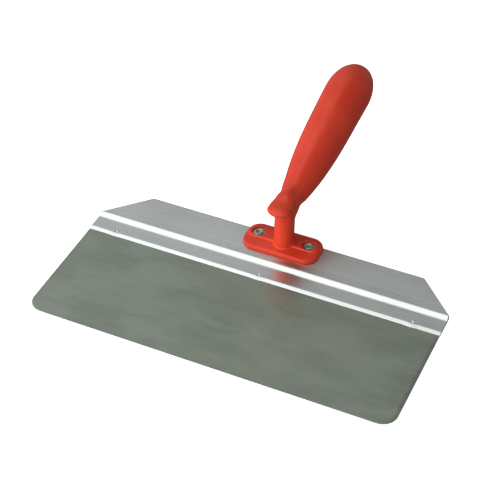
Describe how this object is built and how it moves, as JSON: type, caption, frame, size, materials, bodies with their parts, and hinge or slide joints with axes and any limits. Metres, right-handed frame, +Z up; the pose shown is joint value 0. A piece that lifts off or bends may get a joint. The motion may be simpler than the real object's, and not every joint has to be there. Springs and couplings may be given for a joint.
{
  "type": "flexible putty knife",
  "caption": "Wide flexible filling knife: thin sprung steel blade in an aluminium back with a rib, and a red plastic handle that stands up from a riveted foot.",
  "frame": {"origin": "middle of the blade's working edge, halfway through the sheet; the underside of the back, which rests on a table, is 1.145 mm lower", "axes": "+X along the working edge to the right as seen from behind the edge, +Y from the edge towards the handle, +Z up out of the blade's upper face"},
  "size_m": [0.25, 0.2479, 0.0726],
  "materials": {
    "blade_steel": "thin rolled spring steel with faint streaks along its length",
    "back_aluminium": "bright extruded aluminium with fine lines along its length",
    "handle_plastic": "semi-gloss moulded red plastic",
    "rivet_metal": "dull aluminium, rolled over",
    "washer_metal": "thin plated steel"
  },
  "bodies": {
    "frame": {"back_profile": "back_aluminium", "handle": "handle_plastic", "rivet_left": "rivet_metal", "rivet_right": "rivet_metal", "washer_left": "washer_metal", "washer_right": "washer_metal"},
    "blade_flex": {"blade": "blade_steel"}
  },
  "joints": [
    {"name": "blade_flex", "type": "hinge", "parent": "frame", "child": "blade_flex", "pos_m": [0, 0.082, 0], "axis": [1, 0, 0], "range_deg": [-25, 25], "stiffness_Nm_per_rad": 9.8, "deforming": ["blade"]}
  ]
}
